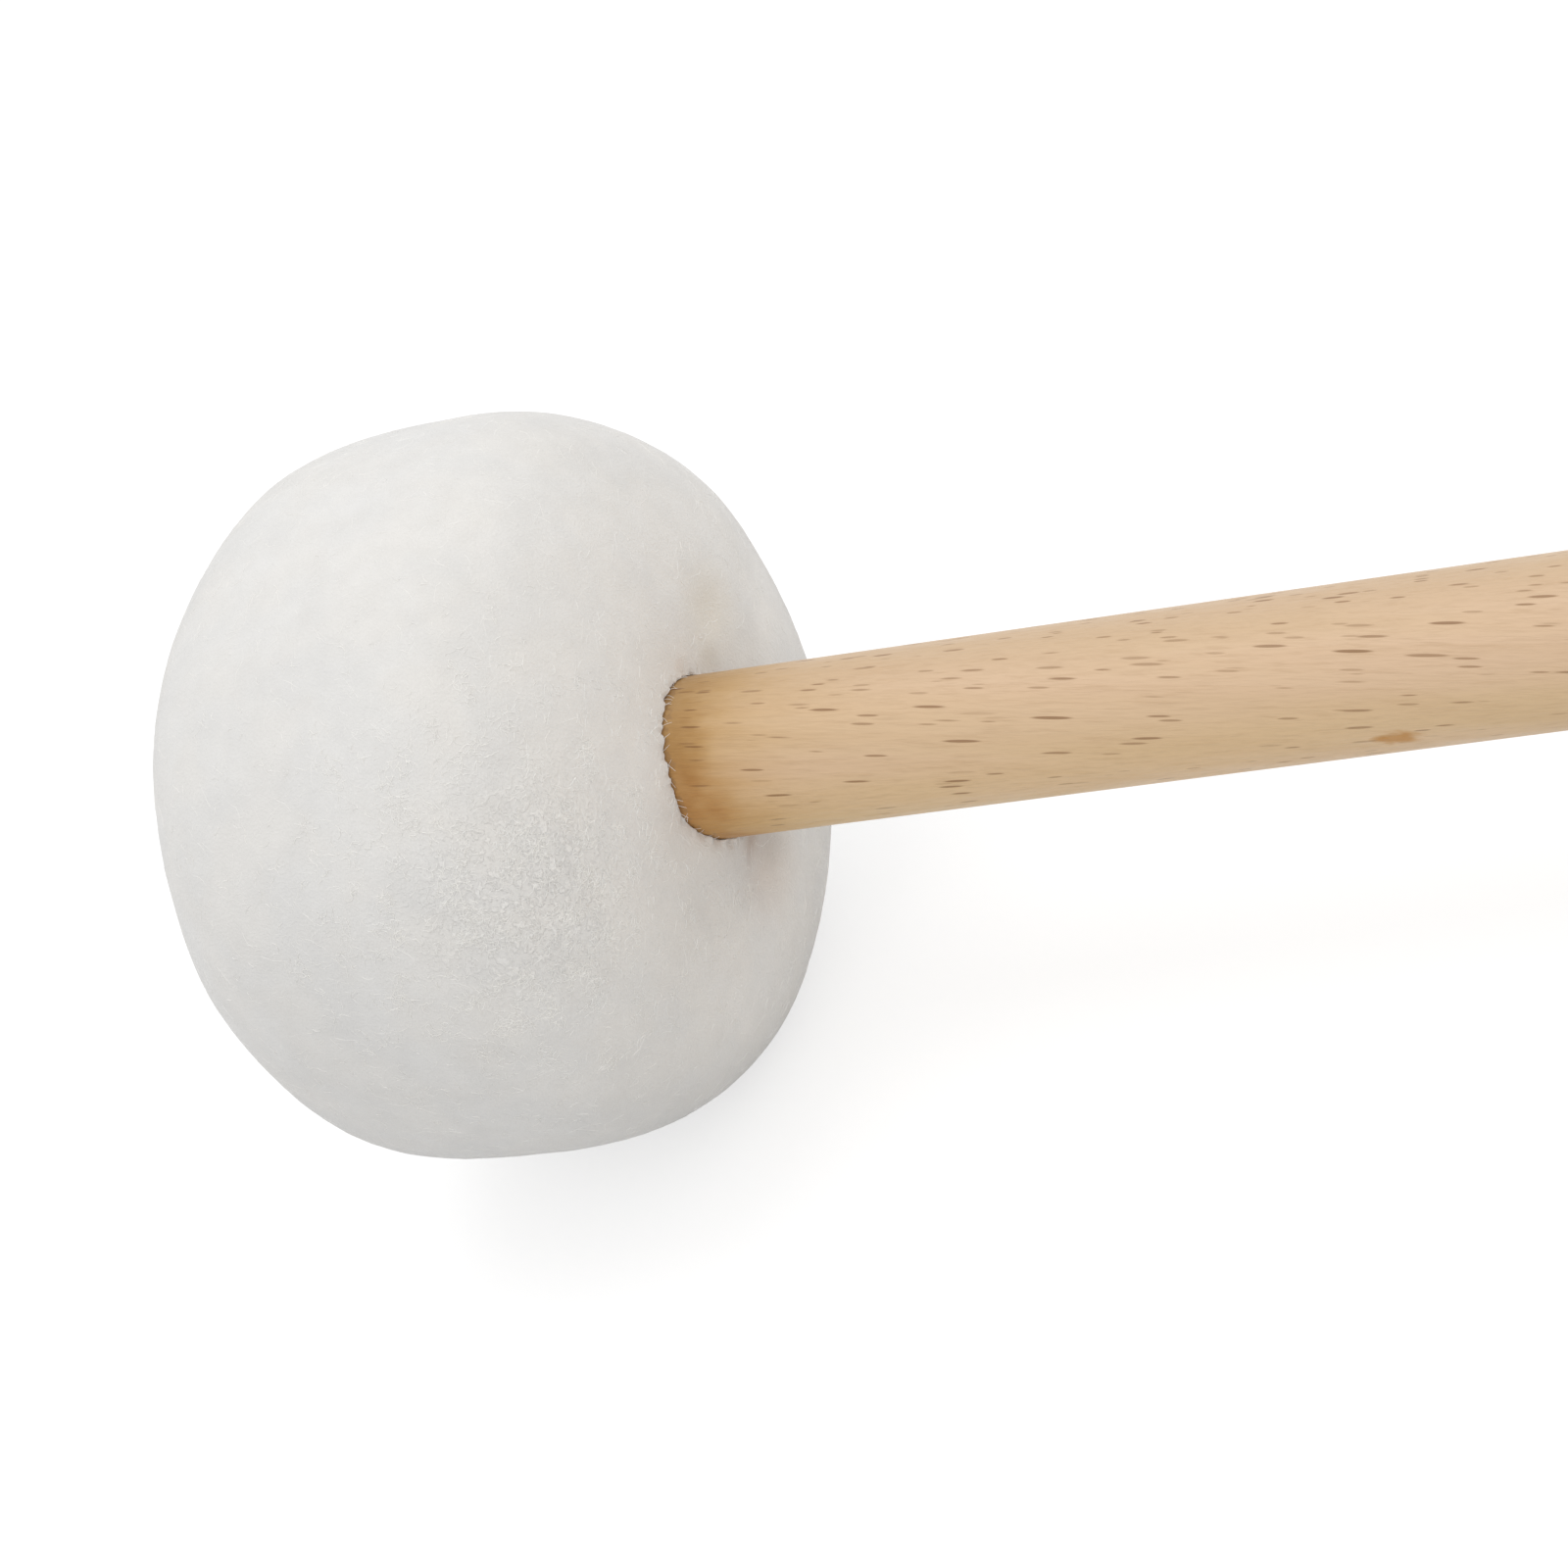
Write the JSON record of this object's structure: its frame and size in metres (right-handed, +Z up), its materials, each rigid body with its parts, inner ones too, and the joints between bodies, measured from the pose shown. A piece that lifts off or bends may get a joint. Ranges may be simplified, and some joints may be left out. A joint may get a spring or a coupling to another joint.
{
  "type": "marimba mallet",
  "caption": "Soft percussion mallet: a plain beech stick in a layered, barrel-shaped head with a seamless white felt cover, lying at rest.",
  "frame": {"origin": "on the table under the middle of the mallet's length, with the mallet lying on the side of its head and on its butt", "axes": "+X along the mallet from the head to the butt, level with the table; +Y across it; +Z up"},
  "size_m": [0.3999, 0.0364, 0.0358],
  "materials": {
    "beech": "sanded beech under a thin satin varnish, with brown flecks along the grain",
    "white_felt": "soft off-white felt with a fine curly nap",
    "rubber": "matt moulded rubber",
    "grey_felt": "firm pressed felt",
    "wadding": "loose white wadding",
    "waxed_thread": "waxed thread, slightly glossy"
  },
  "bodies": {
    "root": {"shaft": "beech", "cover": "white_felt", "core": "rubber", "felt_wrap": "grey_felt", "crown_pad": "grey_felt", "neck_pad": "grey_felt", "batting": "wadding", "neck_thread": "waxed_thread"}
  },
  "joints": []
}
